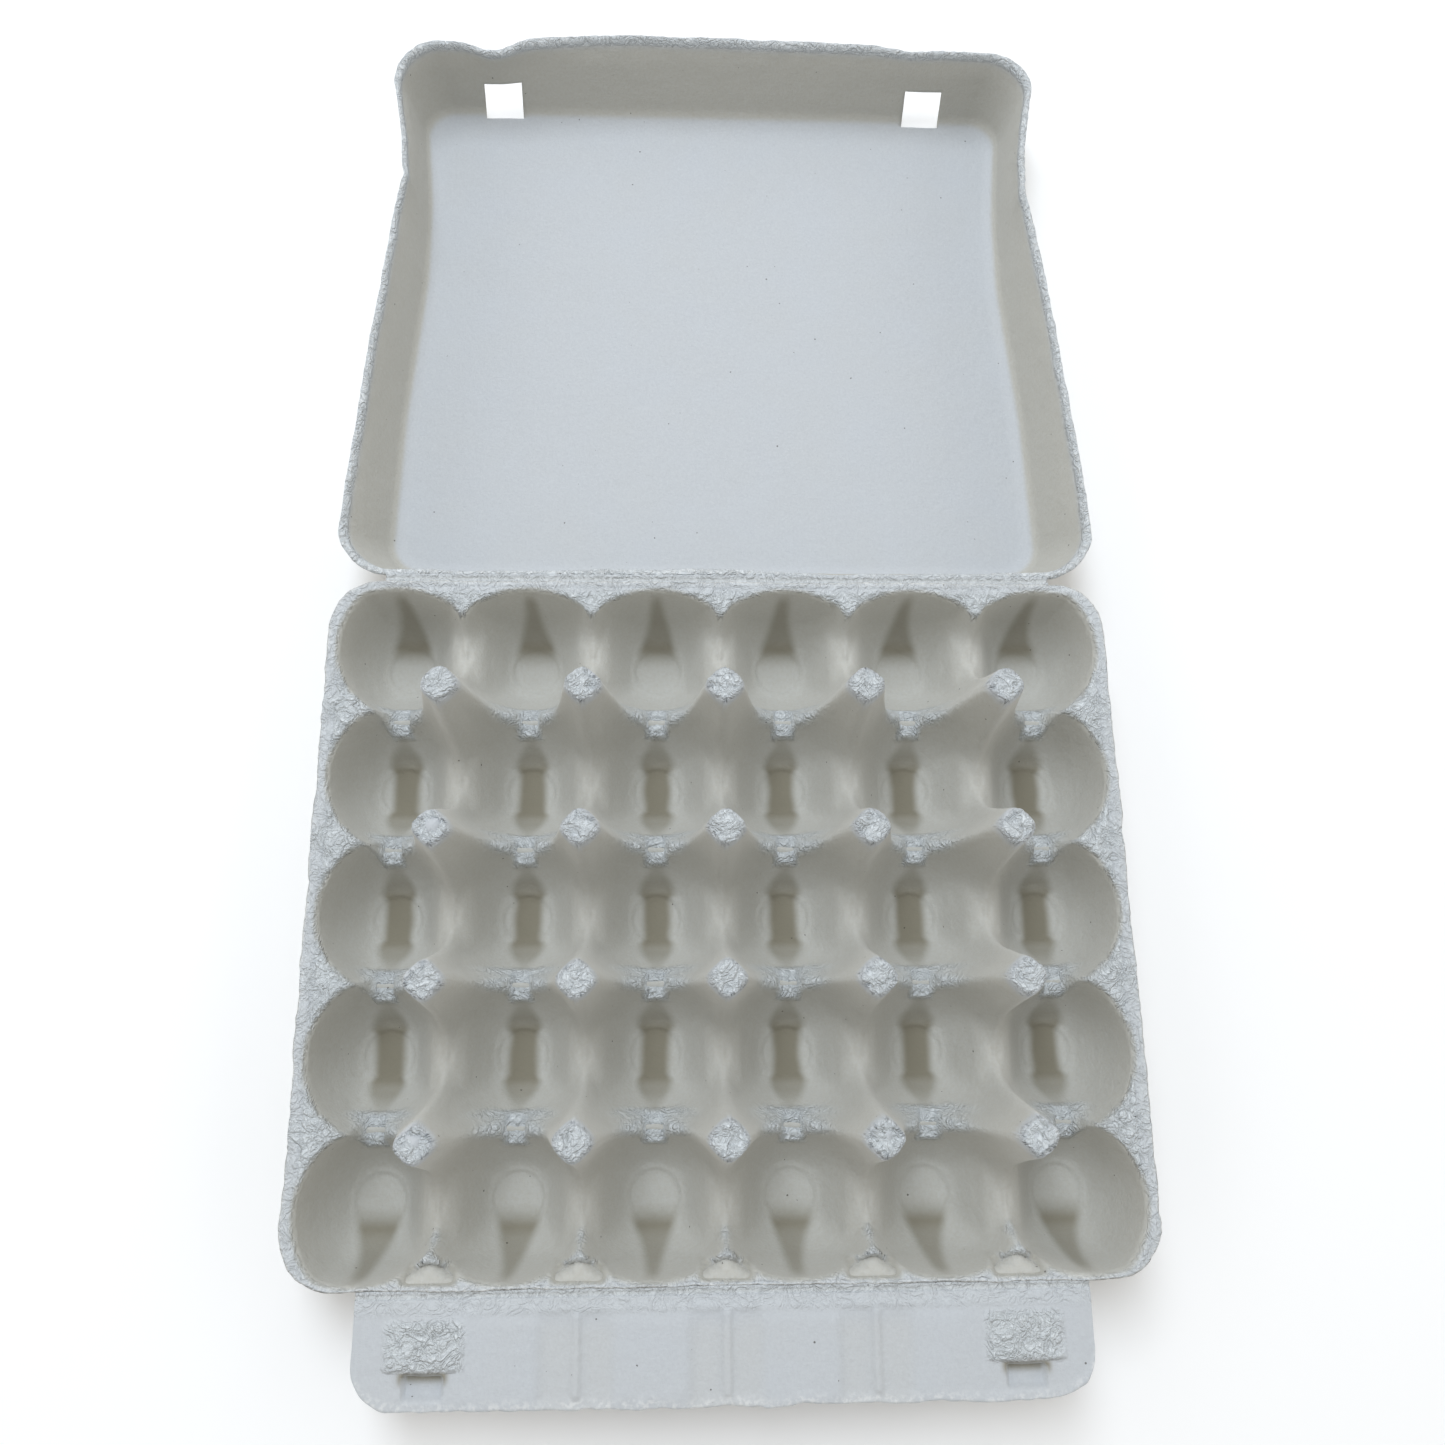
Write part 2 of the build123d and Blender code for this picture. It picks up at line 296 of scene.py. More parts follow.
def ray_run(part, ahead, behind):
    """How far rays run to a line ahead or behind, given one part of their directions."""
    back_run = np.where(part < -TINY, behind / np.maximum(-part, TINY), FAR)
    return np.where(part > TINY, ahead / np.maximum(part, TINY), back_run)


def outline_reach(cx, cy, cos_a, sin_a):
    """How far each ray from a cell's middle runs: to the cell's border or the tray's rounded outline."""
    right = (TRAY_HALF - cx) if cx > CELL_X - 1 else HALF_X
    left = (TRAY_HALF + cx) if cx < -CELL_X + 1 else HALF_X
    back = (TRAY_BACK - cy) if cy > CELL_Y - 1 else HALF_Y
    front = (cy - TRAY_FRONT) if cy < -CELL_Y + 1 else HALF_Y
    reach = np.minimum(ray_run(cos_a, right, left), ray_run(sin_a, back, front))
    if abs(cx) > CELL_X - 1 and abs(cy) > CELL_Y - 1:
        edge_y = TRAY_BACK if cy > 0 else TRAY_FRONT
        ox = math.copysign(TRAY_HALF - TRAY_CORNER, cx) - cx
        oy = edge_y - math.copysign(TRAY_CORNER, cy) - cy
        b = ox * cos_a + oy * sin_a
        inside = b**2 - (ox**2 + oy**2 - TRAY_CORNER**2)
        arc = b + np.sqrt(np.maximum(inside, 0))
        hit_x, hit_y = arc * cos_a - ox, arc * sin_a - oy
        on_arc = (inside > 0) & (hit_x * np.sign(cx) > 0) & (hit_y * np.sign(cy) > 0)
        reach = np.where(on_arc, arc, reach)
    return reach


def tray_grid(surface, rings):
    """Points and quads of one face of the tray, and the vertices on each cell's border."""
    even = np.arange(SPOKES) / SPOKES * 2 * math.pi
    spread_angle = even + 0.11 * np.sin(4 * even)  # closer together towards the posts
    points, quads, border = [], [], []
    offset = 0
    for cx in (np.arange(COLUMNS) - (COLUMNS - 1) / 2) * PITCH_X:
        for cy in (np.arange(ROWS) - (ROWS - 1) / 2) * PITCH_Y:
            angle = spread_angle.copy()
            # One spoke is turned to meet each corner that four cells, or two cells and the outline, share.
            for sx in (-1, 1):
                for sy in (-1, 1):
                    out_x, out_y = sx * cx > CELL_X - 1, sy * cy > CELL_Y - 1
                    if out_x and out_y:
                        continue
                    edge_y = TRAY_BACK if sy > 0 else -TRAY_FRONT
                    to_x = TRAY_HALF - CELL_X if out_x else HALF_X
                    to_y = edge_y - CELL_Y if out_y else HALF_Y
                    corner = math.atan2(sy * to_y, sx * to_x) % (2 * math.pi)
                    angle[np.argmin(np.abs(angle - corner))] = corner
            cos_a, sin_a = np.cos(angle), np.sin(angle)
            reach = outline_reach(cx, cy, cos_a, sin_a)
            share = np.linspace(0, 1, FINE)
            r = share[:, None] * reach[None, :]
            x, y = cx + r * cos_a, cy + r * sin_a
            z = surface.height(x, y, cx, cy)
            step = np.sqrt(np.diff(r, axis=0) ** 2 + (0.42 * np.diff(z, axis=0)) ** 2)
            run = np.vstack([np.zeros((1, SPOKES)), np.cumsum(step, axis=0)])
            wanted = np.linspace(0, 1, rings)
            r_new = np.stack(
                [np.interp(wanted * run[-1, k], run[:, k], r[:, k]) for k in range(SPOKES)], axis=1
            )
            r_new[0] = 0
            r_new[-1] = reach
            x, y = cx + r_new * cos_a, cy + r_new * sin_a
            z = surface.height(x, y, cx, cy)
            points.append(np.stack([x, y, z], -1).reshape(-1, 3))
            ring, spoke = np.meshgrid(np.arange(rings - 1), np.arange(SPOKES), indexing="ij")
            after = (spoke + 1) % SPOKES
            here, there = ring * SPOKES, (ring + 1) * SPOKES
            corners = [here + spoke, there + spoke, there + after, here + after]
            quads.append(np.stack(corners, -1).reshape(-1, 4) + offset)
            last = (rings - 1) * SPOKES + np.arange(SPOKES) + offset
            border.append(last)
            offset += rings * SPOKES
    return np.vstack(points), np.vstack(quads), np.concatenate(border)


def weld(points, quads):
    """Joins vertices at the same place and drops the unused ones."""
    key = np.round(points / WELD_STEP).astype(np.int64)
    _, first, new = np.unique(key, axis=0, return_index=True, return_inverse=True)
    quads = new.reshape(-1)[quads]
    used = np.unique(quads)
    number = np.full(len(first), -1)
    number[used] = np.arange(len(used))
    return points[first][used], number[quads]


def on_outline(points):
    """True for the vertices on the tray's outer edge."""
    x, y = np.abs(points[:, 0]), points[:, 1]
    corner_x = TRAY_HALF - TRAY_CORNER
    back, front = TRAY_BACK - TRAY_CORNER, TRAY_FRONT + TRAY_CORNER
    past_y = np.where(y > back, y - back, np.where(y < front, front - y, 0))
    on_arc = (x > corner_x) & (past_y > 0) & (np.hypot(x - corner_x, past_y) > TRAY_CORNER - 1e-3)
    return (x > TRAY_HALF - 1e-3) | (y > TRAY_BACK - 1e-3) | (y < TRAY_FRONT + 1e-3) | on_arc


def tray_mesh():
    """The whole tray: upper face, lower face and the edge between them."""
    upper, lower = Surface(0.0), Surface(WALL)
    top, top_quads, top_border = tray_grid(upper, RINGS)
    under, under_quads, under_border = tray_grid(lower, RINGS_UNDER)
    points = np.vstack([top, under])
    under_quads = under_quads[:, ::-1] + len(top)
    pairs_a = top_border.reshape(-1, SPOKES)
    pairs_b = under_border.reshape(-1, SPOKES) + len(top)
    edge = []
    extra_points = []
    count = len(points)
    for a, b in zip(pairs_a, pairs_b):
        a2, b2 = np.roll(a, -1), np.roll(b, -1)
        keep = on_outline(points[a]) & on_outline(points[a2])
        if not keep.any():
            continue
        mid = 0.5 * (points[a] + points[b])
        extra_points.append(mid)
        m = np.arange(SPOKES) + count
        m2 = np.roll(m, -1)
        count += SPOKES
        edge.append(np.stack([a, m, m2, a2], -1)[keep])
        edge.append(np.stack([m, b, b2, m2], -1)[keep])
    return weld(np.vstack([points] + extra_points), np.vstack([top_quads, under_quads] + edge))


def tray_masks(points, normals):
    """Crinkled skin (post tops, rim, ridge ends), the bridges, and the pale bands of bridges and crests,
    which are a painted highlight on their up-facing slopes.
    """
    x, y, z = points.T
    up = smooth_step(0.2, 0.7, normals[:, 2])
    post = smooth_step(POST_Z - 4.6, POST_Z - 3.2, z)
    rim_flat = smooth_step(RIM_Z - 1.6, RIM_Z - 0.6, z) * smooth_step(RIM_Z + 1, RIM_Z + 0.5, z)
    side = rim_flat * smooth_step(139.9, 139.2, np.abs(x)) * smooth_step(112, 104, np.abs(y))
    back = rim_flat * smooth_step(118.6, 117.6, y) * smooth_step(100, 106, y)
    back = back * smooth_step(128, 120, np.abs(x))
    lumps = smooth_step(RIM_Z - 12, RIM_Z - 9, z) * smooth_step(-114.6, -113.0, y) * smooth_step(-98, -102, y)
    near_post_line = np.abs((x / PITCH_X + 0.5) % 1 - 0.5) * PITCH_X
    lumps = lumps * smooth_step(6.5, 4.5, near_post_line) * smooth_step(CELL_X, CELL_X - 8, np.abs(x))
    near_row_line = np.abs((y / PITCH_Y) % 1 - 0.5) * PITCH_Y
    near_middle = np.abs((x / PITCH_X) % 1 - 0.5) * PITCH_X
    bridge = smooth_step(8, 5, near_row_line) * smooth_step(5.2, 3.6, near_middle)
    bridge = bridge * smooth_step(11.5, 13.5, z) * smooth_step(22, 18, z)
    bridge = bridge * smooth_step(CELL_Y, CELL_Y - 12, np.abs(y))
    behind_line = ((y / PITCH_Y) % 1 - 0.5) * PITCH_Y - 1.8
    crest = smooth_step(5.6, 3.0, np.abs(behind_line)) * smooth_step(62, 46, z) * smooth_step(12, 14, z)
    crest = 0.9 * crest * smooth_step(CELL_Y, CELL_Y - 12, np.abs(y))
    crinkle = np.clip(np.maximum.reduce([post, side, back, 0.9 * lumps, 0.45 * rim_flat]) * up, 0, 1)
    # The pale band on bridges and ridge crests is a painted highlight where they face up.
    painted_highlight = np.maximum(bridge, crest) * smooth_step(0.1, 0.5, normals[:, 2])
    return crinkle, np.clip(bridge * up, 0, 1), np.clip(painted_highlight, 0, 1)


def tray_painted_shade(x, y, z):
    """Painted shade: the darker strip along each cell's bottom, climbing the end rows' outer walls, and the
    darker front pockets.
    """
    across = np.abs((x / PITCH_X) % 1 - 0.5) * PITCH_X
    row = np.clip(np.round(y / PITCH_Y), -2, 2)
    along = y - row * PITCH_Y
    end = np.abs(row) == 2
    outward = np.where(end, along * np.sign(row), np.abs(along))
    inner_half = 5.0 + 1.2 * smooth_step(7.0, 9.5, outward) - 6.0 * smooth_step(10.0, 22.0, outward)
    climb_half = 6.5 * (26.0 - outward) / 16.0
    half = np.where(end, climb_half, inner_half) + 0.5 * noise3(np.c_[x, y, 0 * z], 7.0, seed=41)
    strip = smooth_step(half + 2.0, half - 2.0, across)
    reach = np.where(end, smooth_step(1.0, 10.0, outward), smooth_step(22.0, 12.0, outward))
    pocket_across = np.abs((x / PITCH_X + 0.5) % 1 - 0.5) * PITCH_X
    pocket = smooth_step(9.5, 7.0, pocket_across) * smooth_step(-112.8, -114.6, y)
    pocket = pocket * smooth_step(-119.6, -117.6, y)
    pocket = 0.4 * pocket * smooth_step(CELL_X, CELL_X - 6, np.abs(x))
    at_foot = 0.7 + 0.25 * np.exp(-(((outward - 9.5) / 2.5) ** 2))
    band = np.where(end, at_foot, 1.0 - 0.3 * smooth_step(8.0, 12.0, outward))
    return np.maximum(strip * reach * band * smooth_step(36, 24, z), pocket)


# Posts knocked in or peeled at the top: middle x, middle y, reach, depth.
DENTS = (
    (-94.5, 26.0, 3.4, 1.7),
    (-97.5, -70.5, 3.6, 1.5),
    (94.0, -74.5, 3.2, 1.3),
    (50.0, -71.0, 2.8, 0.9),
    (-46.0, 74.5, 2.5, 0.6),
    (2.0, 73.5, 2.6, 0.5),
)


def build_tray():
    points, quads = tray_mesh()
    normals = vertex_normals(points, quads)
    crinkle, bridge, painted_highlight = tray_masks(points, normals)
    # Painted shade along the cells' floors and in the front pockets, kept off faces that look down.
    painted_shade = tray_painted_shade(*points.T) * smooth_step(-0.02, 0.08, normals[:, 2])
    x, y, z = points.T
    # Wrinkles and lumps, pushed along the surface's normal.
    fold = creased(points, 5.5, seed=3, layers=3)
    depth = (1.9 + 0.8 * smooth_step(50, 64, z)) * (fold - 0.62)
    push = crinkle * depth + bridge * 0.5 * noise3(points, 3.0, seed=9)
    push = push + 0.10 * fractal(points, 14.0, seed=5) + 0.05 * noise3(points, 3.0, seed=6)
    wall = smooth_step(0.55, 0.2, np.abs(normals[:, 2])) * smooth_step(20, 40, z)
    push = push + wall * 0.12 * noise3(points * np.array([1, 1, 0.25]), 3.2, seed=12)
    # The fold line between the flat rim and the triangles.
    up = smooth_step(0.4, 0.8, normals[:, 2])
    on_rim = up * smooth_step(RIM_Z - 1, RIM_Z - 0.3, z) * smooth_step(RIM_Z + 2, RIM_Z + 1, z)
    wander = 0.35 * noise3(np.c_[x, y, 0 * z], 16.0, seed=21)
    line = np.exp(-(((np.abs(x) - 139.7 + wander) / 0.55) ** 2)) * smooth_step(108, 100, np.abs(y))
    line = np.maximum(line, np.exp(-(((y - 119.9 + wander) / 0.5) ** 2)) * smooth_step(132, 124, np.abs(x)))
    front_line = np.exp(-(((y + 119.3 + wander) / 0.4) ** 2)) * 0.8
    line = np.maximum(line, front_line * smooth_step(132, 124, np.abs(x)))
    push = push - 0.55 * on_rim * line
    for px, py, reach, depth in DENTS:
        dent = np.exp(-((np.hypot(x - px, y - py) / reach) ** 2)) * smooth_step(POST_Z - 6, POST_Z - 2, z)
        push = push - depth * dent
    points = points + normals * push[:, None]
    # An uneven, fibrous outer edge.
    edge = on_edge_weight(x, y)
    out_x = np.sign(x) * smooth_step(TRAY_HALF - 14, TRAY_HALF, np.abs(x))
    out_y = np.sign(y) * smooth_step(108, 121, np.abs(y))
    fray = 0.35 * noise3(points, 9.0, seed=30) + 0.2 * noise3(points, 2.5, seed=31) - 0.35
    points = points + np.c_[out_x, out_y, 0 * x] * (edge * fray)[:, None]
    points[:, 2] += edge * 0.35 * noise3(np.c_[x, y, 0 * z], 22.0, seed=33)
    points[:, 2] = np.maximum(points[:, 2], 0.0)
    points[:, 1] += MIDDLE_Y
    # Painted shade: darker and warmer deep in the cells and on the posts' steep upper flanks.
    on_wall = smooth_step(1.0, 0.75, normals[:, 2])
    painted_hollow_shade = np.maximum(smooth_step(34, 26, z), smooth_step(POST_Z - 2, POST_Z - 6, z) * on_wall)
    masks = {"crinkle": crinkle, "bridge": painted_highlight, "painted_hollow_shade": painted_hollow_shade, "edge": edge, "painted_shade": painted_shade}
    piece = make_object("pulp_tray", points, quads, masks)
    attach(piece, "tray")
    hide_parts("tray")
    return piece


def on_edge_weight(x, y):
    """1 at the tray's outer edge, 0 a few millimetres inside it."""
    corner_x = TRAY_HALF - TRAY_CORNER
    back, front = TRAY_BACK - TRAY_CORNER, TRAY_FRONT + TRAY_CORNER
    past_x = np.maximum(np.abs(x) - corner_x, 0)
    past_y = np.where(y > back, y - back, np.where(y < front, front - y, 0))
    inset = TRAY_CORNER - np.hypot(past_x, past_y)
    return smooth_step(2.6, 0.2, inset)


# ---- Lid ----
LID_HALF = 144.5
DRAFT_ANGLE = math.radians(18)
LID_DRAFT = math.tan(DRAFT_ANGLE)
LID_CORNER = 20.0
PANEL_CELLS = 86  # half the panel's grid; a ring round the lid has 8 times as many points
WALL_ROWS = 22
EDGE_ROWS = 12
LID_BACK, LID_FRONT = lid_low[1], lid_high[1]
LID_HALF_Y = (LID_FRONT - LID_BACK) / 2
LID_MIDDLE_Y = (LID_FRONT + LID_BACK) / 2
SLOT_X, SLOT_HALF, SLOT_LOW, SLOT_HIGH = 96.0, 8.75, 3.0, 17.5
RIM_SECTION = ((0.80, 0.22), (0.5, 0.0), (0.20, 0.22))  # the rim's rounding: share across, drop
# How far the sides lean in, by share of the lid's depth from its hinge: at the rim and at the panel.
RIM_LEAN = (
    (0, 0.06, 0.2, 0.42, 0.6, 0.68, 0.72, 0.8, 0.9, 1),
    (0, 0, 2.6, 7.2, 11.6, 13.6, 14.4, 13.6, 9.6, 5.4),
)
PANEL_LEAN = (0, 0.05, 0.33, 0.6, 0.75, 0.9, 1), (0, 0, 1.8, 7.2, 6.4, 3.2, 2.0)


def rounded_rectangle(half_x, half_y, radius, count):
    """Points round a rounded rectangle, anticlockwise from mid-corner (-, -), count to a side."""
    t = (np.arange(count) / count - 0.5) * 2
    out = []
    for side in range(4):
        along, across = (half_x, half_y) if side % 2 == 0 else (half_y, half_x)
        straight = along - radius
        s = t * (straight + math.pi / 4 * radius)
        theta = np.maximum(np.abs(s) - straight, 0) / radius
        u = np.where(theta > 0, np.sign(s) * (straight + radius * np.sin(theta)), s)
        v = radius - across - radius * np.cos(theta)
        c, n = ((1, 0), (0, 1), (-1, 0), (0, -1))[side]
        out.append(np.c_[u * c - v * n, u * n + v * c])
    return np.vstack(out)


def lid_profile(outer):
    """(inset from the rim's outline, height) down the wall to the panel, on the outer or the inner face."""
    edge = 8.0
    base_z, shift = (0.0, 0.0) if outer else (WALL, WALL / math.cos(DRAFT_ANGLE))
    foot = shift + (RIM_Z - base_z) * LID_DRAFT
    tangent = edge * math.tan((math.pi / 2 - DRAFT_ANGLE) / 2)
    start = np.array([foot, base_z]) + tangent * np.array([-math.sin(DRAFT_ANGLE), math.cos(DRAFT_ANGLE)])
    top = np.array([shift + 0.9 * LID_DRAFT, RIM_Z - 0.9])
    wall = top + (start - top) * np.linspace(0, 1, WALL_ROWS)[:, None]
    center = np.array([foot + tangent, base_z + edge])
    first = math.atan2(start[1] - center[1], start[0] - center[0])
    first = first - 2 * math.pi if first > 0 else first
    angle = np.linspace(first, -math.pi / 2, EDGE_ROWS + 1)[1:]
    return np.vstack([wall, center + edge * np.c_[np.cos(angle), np.sin(angle)]])


def ring_at(inset, z):
    """One ring of the lid's wall."""
    radius = max(LID_CORNER - 0.5 * inset, 9.0)
    ring = rounded_rectangle(LID_HALF - inset, LID_HALF_Y - inset, radius, 2 * PANEL_CELLS)
    return np.c_[ring, np.full(len(ring), z)]


def panel_grid(foot, z):
    """The panel's square grid, bent near its edge to meet the foot of the wall."""
    half_x, half_y = np.abs(foot[:, 0]).max(), np.abs(foot[:, 1]).max()
    n = 2 * PANEL_CELLS
    steps = (np.arange(n + 1) - PANEL_CELLS) / PANEL_CELLS
    a, b = np.meshgrid(steps, steps, indexing="ij")
    share = np.maximum(np.abs(a), np.abs(b))
    safe = np.maximum(share, 1e-9)
    turn = np.select(
        [(b <= -share) & (a < share), (a >= share) & (b < share), (b >= share) & (a > -share)],
        [(a / safe + 1) / 2, 1 + (b / safe + 1) / 2, 2 + (1 - a / safe) / 2],
        3 + (1 - b / safe) / 2,
    )
    t = (np.arange(n) / n - 0.5) * 2
    flat = np.vstack([np.c_[t, -1 + 0 * t], np.c_[1 + 0 * t, t], np.c_[-t, 1 + 0 * t], np.c_[-1 + 0 * t, -t]])
    shift = foot[:, :2] - flat * np.array([half_x, half_y])
    at = np.arange(4 * n) / n
    sx = np.interp(turn.ravel(), at, shift[:, 0], period=4).reshape(turn.shape)
    sy = np.interp(turn.ravel(), at, shift[:, 1], period=4).reshape(turn.shape)
    fade = share**8
    bent = [a * half_x + fade * sx, b * half_y + fade * sy, np.full(a.shape, z)]
    points = np.stack(bent, -1).reshape(-1, 3)
    i, j = np.meshgrid(np.arange(n), np.arange(n), indexing="ij")
    here = i * (n + 1) + j
    quads = np.stack([here, here + n + 1, here + n + 2, here + 1], -1).reshape(-1, 4)
    return points, quads


def slot_ranges(wall, side):
    """The rows and columns of the far wall that one lock slot takes out."""
    columns = np.arange(2 * 2 * PANEL_CELLS, 3 * 2 * PANEL_CELLS)
    middle = wall[len(wall) // 2, columns, 0]
    lines = [columns[np.argmin(np.abs(middle - side * SLOT_X - w))] for w in (SLOT_HALF, -SLOT_HALF)]
    rows = [int(np.argmin(np.abs(wall[:, lines[0], 2] - z))) for z in (SLOT_HIGH, SLOT_LOW)]
    return rows, lines


def snap_to_slot(wall, side, rows, lines):
    """Moves the wall's grid lines to the edges of a slot, and eases the lines beside them."""
    last = min(rows[1] + 1, len(wall))
    for line, w in zip(lines, (SLOT_HALF, -SLOT_HALF)):
        # The slot's own line moves last, because the others follow it.
        for beside in (-2, -1, 1, 2, 0):
            share = 1 - abs(beside) / 3
            for row in range(rows[0] - 4, last):
                ease = share * min(1, (row - rows[0] + 5) / 5)
                wall[row, line + beside, 0] += ease * (side * SLOT_X + w - wall[row, line, 0])


def lid_mesh():
    """Inner face, rounded rim, outer face and the two slots, with the lid's middle at x = y = 0."""
    count = 8 * PANEL_CELLS
    walls = [np.stack([ring_at(inset, z) for inset, z in lid_profile(outer)]) for outer in (False, True)]
    across = WALL / math.cos(DRAFT_ANGLE)
    rim = np.stack([ring_at(across * share, RIM_Z - drop) for share, drop in RIM_SECTION])
    slots = []
    for side in (-1, 1):
        rows, lines = slot_ranges(walls[0], side)
        for wall in walls:
            snap_to_slot(wall, side, rows, lines)
        slots.append((rows, lines))
    depth = walls[0].shape[0]
    i, j = np.meshgrid(np.arange(depth - 1), np.arange(count), indexing="ij")
    i, j = i.ravel(), j.ravel()
    open_here = np.zeros(len(i), bool)
    for rows, lines in slots:
        open_here |= (i >= rows[0]) & (i < rows[1]) & (j >= lines[0]) & (j < lines[1])
    i, j = i[~open_here], j[~open_here]
    k = (j + 1) % count
    inner = np.stack([i * count + j, i * count + k, (i + 1) * count + k, (i + 1) * count + j], -1)
    outer_start = depth * count
    quads = [inner, inner[:, ::-1] + outer_start]
    rim_start = 2 * depth * count
    j = np.arange(count)
    k = (j + 1) % count
    chain = [0, rim_start, rim_start + count, rim_start + 2 * count, outer_start]
    for a, b in zip(chain[:-1], chain[1:]):
        quads.append(np.stack([a + j, b + j, b + k, a + k], -1))
    # The slots' own walls, from the inner face through to the outer one.
    for rows, lines in slots:
        row, column = np.arange(rows[0], rows[1]) * count, np.arange(lines[0], lines[1])
        first_row, last_row = (r * count + column for r in rows)
        first_line, last_line = (row + c for c in lines)
        for a, b, flip in (
            (first_row, first_row + 1, 1),
            (last_row, last_row + 1, -1),
            (first_line, first_line + count, -1),
            (last_line, last_line + count, 1),
        ):
            quads.append(np.stack([a, b, outer_start + b, outer_start + a], -1)[:, ::flip])
    points = [walls[0].reshape(-1, 3), walls[1].reshape(-1, 3), rim.reshape(-1, 3)]
    total = sum(len(p) for p in points)
    for wall, z, flip in ((walls[0], WALL, 1), (walls[1], 0.0, -1)):
        p, q = panel_grid(wall[-1], z)
        points.append(p)
        quads.append(q[:, ::flip] + total)
        total += len(p)
    return weld(np.vstack(points), np.vstack(quads))


def build_lid():
    points, quads = lid_mesh()
    normals = vertex_normals(points, quads)
    x, y, z = points.T.copy()
    y_row = y + LID_MIDDLE_Y
    rise = z / RIM_Z
    edge = smooth_step(RIM_Z - 2.2, RIM_Z - 0.4, z)
    inner_up = smooth_step(0.3, 0.8, normals[:, 2]) * smooth_step(1.0, 1.9, z) * smooth_step(5.0, 3.0, z)
    push = 0.10 * fractal(points, 16.0, seed=41) + 0.05 * noise3(points, 3.2, seed=42)
    push = push + (1 - inner_up) * 0.14 * creased(points * np.array([1, 1, 0.35]), 9.0, seed=44)
    push = push + inner_up * 0.22 * fractal(points, 46.0, seed=45, layers=2)
    rim_wrinkle = smooth_step(RIM_Z - 9, RIM_Z - 1, z)
    push = push + rim_wrinkle * 0.35 * (creased(points, 5.0, seed=46, layers=2) - 0.6)
    points = points + normals * push[:, None]
    # The sides lean in towards a waist, with a fold in the rim there.
    share = (y_row - LID_BACK) / (LID_FRONT - LID_BACK)
    at_rim, at_panel = np.interp(share, *RIM_LEAN), np.interp(share, *PANEL_LEAN)
    side = smooth_step(40, 135, np.abs(x))
    fold = 1.2 * np.exp(-np.abs((share - 0.71 + 0.01 * np.sign(x)) / 0.02)) * rise**3
    points[:, 0] -= np.sign(x) * side * (at_panel + (at_rim - at_panel) * rise**1.2 + fold)
    # The front wall's rim bows back towards its ends and dips over the left slot.
    front = smooth_step(20, 120, y)
    points[:, 1] -= front * rise * 5.0 * (x / 125.0) ** 2
    dip = np.exp(-(((x + 99) / 11.0) ** 2)) + 0.45 * np.exp(-(((x - 88) / 14.0) ** 2))
    points[:, 1] -= front * rise**2 * 4.0 * dip * smooth_step(100, 118, y)
    points[:, 2] -= rise**3 * 2.2 * dip * smooth_step(100, 118, y)
    rim_wave = smooth_step(RIM_Z - 12, RIM_Z, z)
    flat = np.c_[x, y, 0 * z]
    points[:, 2] += rim_wave * (0.55 * noise3(flat, 38.0, seed=51) + 0.28 * noise3(flat, 9.0, seed=52) - 0.7)
    broad = np.c_[noise3(flat, 42.0, seed=53), noise3(flat, 42.0, seed=54)]
    small = np.c_[noise3(flat, 11.0, seed=55), noise3(flat, 11.0, seed=56)]
    wander = broad * 1.1 + small * 0.3
    keep_in = smooth_step(LID_HALF_Y + 1, LID_HALF_Y - 3, np.abs(y))
    keep_in = keep_in * smooth_step(LID_HALF + 1, LID_HALF - 3, np.abs(x))
    points[:, :2] += wander * rim_wave[:, None] * keep_in[:, None]
    points[:, 2] = np.maximum(points[:, 2], 0.0)
    points[:, 1] += LID_MIDDLE_Y
    # The pale rim top is partly a painted highlight.
    crinkle = 0.85 * smooth_step(RIM_Z - 4.0, RIM_Z - 1.6, z)
    # Painted shade on the lid's walls, below the rim and above the panel, with a weaker second coat of it.
    painted_hollow_shade = smooth_step(RIM_Z - 1, RIM_Z - 6, z) * (1 - inner_up) * smooth_step(0.5, 2.5, z)
    masks = {"crinkle": crinkle, "bridge": 0 * z, "painted_hollow_shade": painted_hollow_shade, "edge": edge, "painted_shade": 0.16 * painted_hollow_shade}
    piece = make_object("pulp_lid", points, quads, masks)
    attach(piece, "lid")
    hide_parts("lid")
    return piece


# ---- Locking flap ----
FLAP_HALF = (flap_high[0] - flap_low[0]) / 2
FLAP_ROOT, FLAP_TIP = flap_high[1], flap_low[1]
FLAP_LENGTH = FLAP_ROOT - FLAP_TIP
FLAP_CORNER = 14.0
LUG_X, LUG_HALF, LUG_FROM, LUG_TO, LUG_DROP = 96.0, 7.5, 21.0, 30.0, 3.2
FLAP_COLUMNS, FLAP_ROWS = 300, 46


def pressed_band(x):
    """1 in the flap's bands across the post lines, 0 in those across the cells."""
    return smooth_step(-0.25, 0.35, np.cos((x / PITCH_X) * 2 * math.pi))


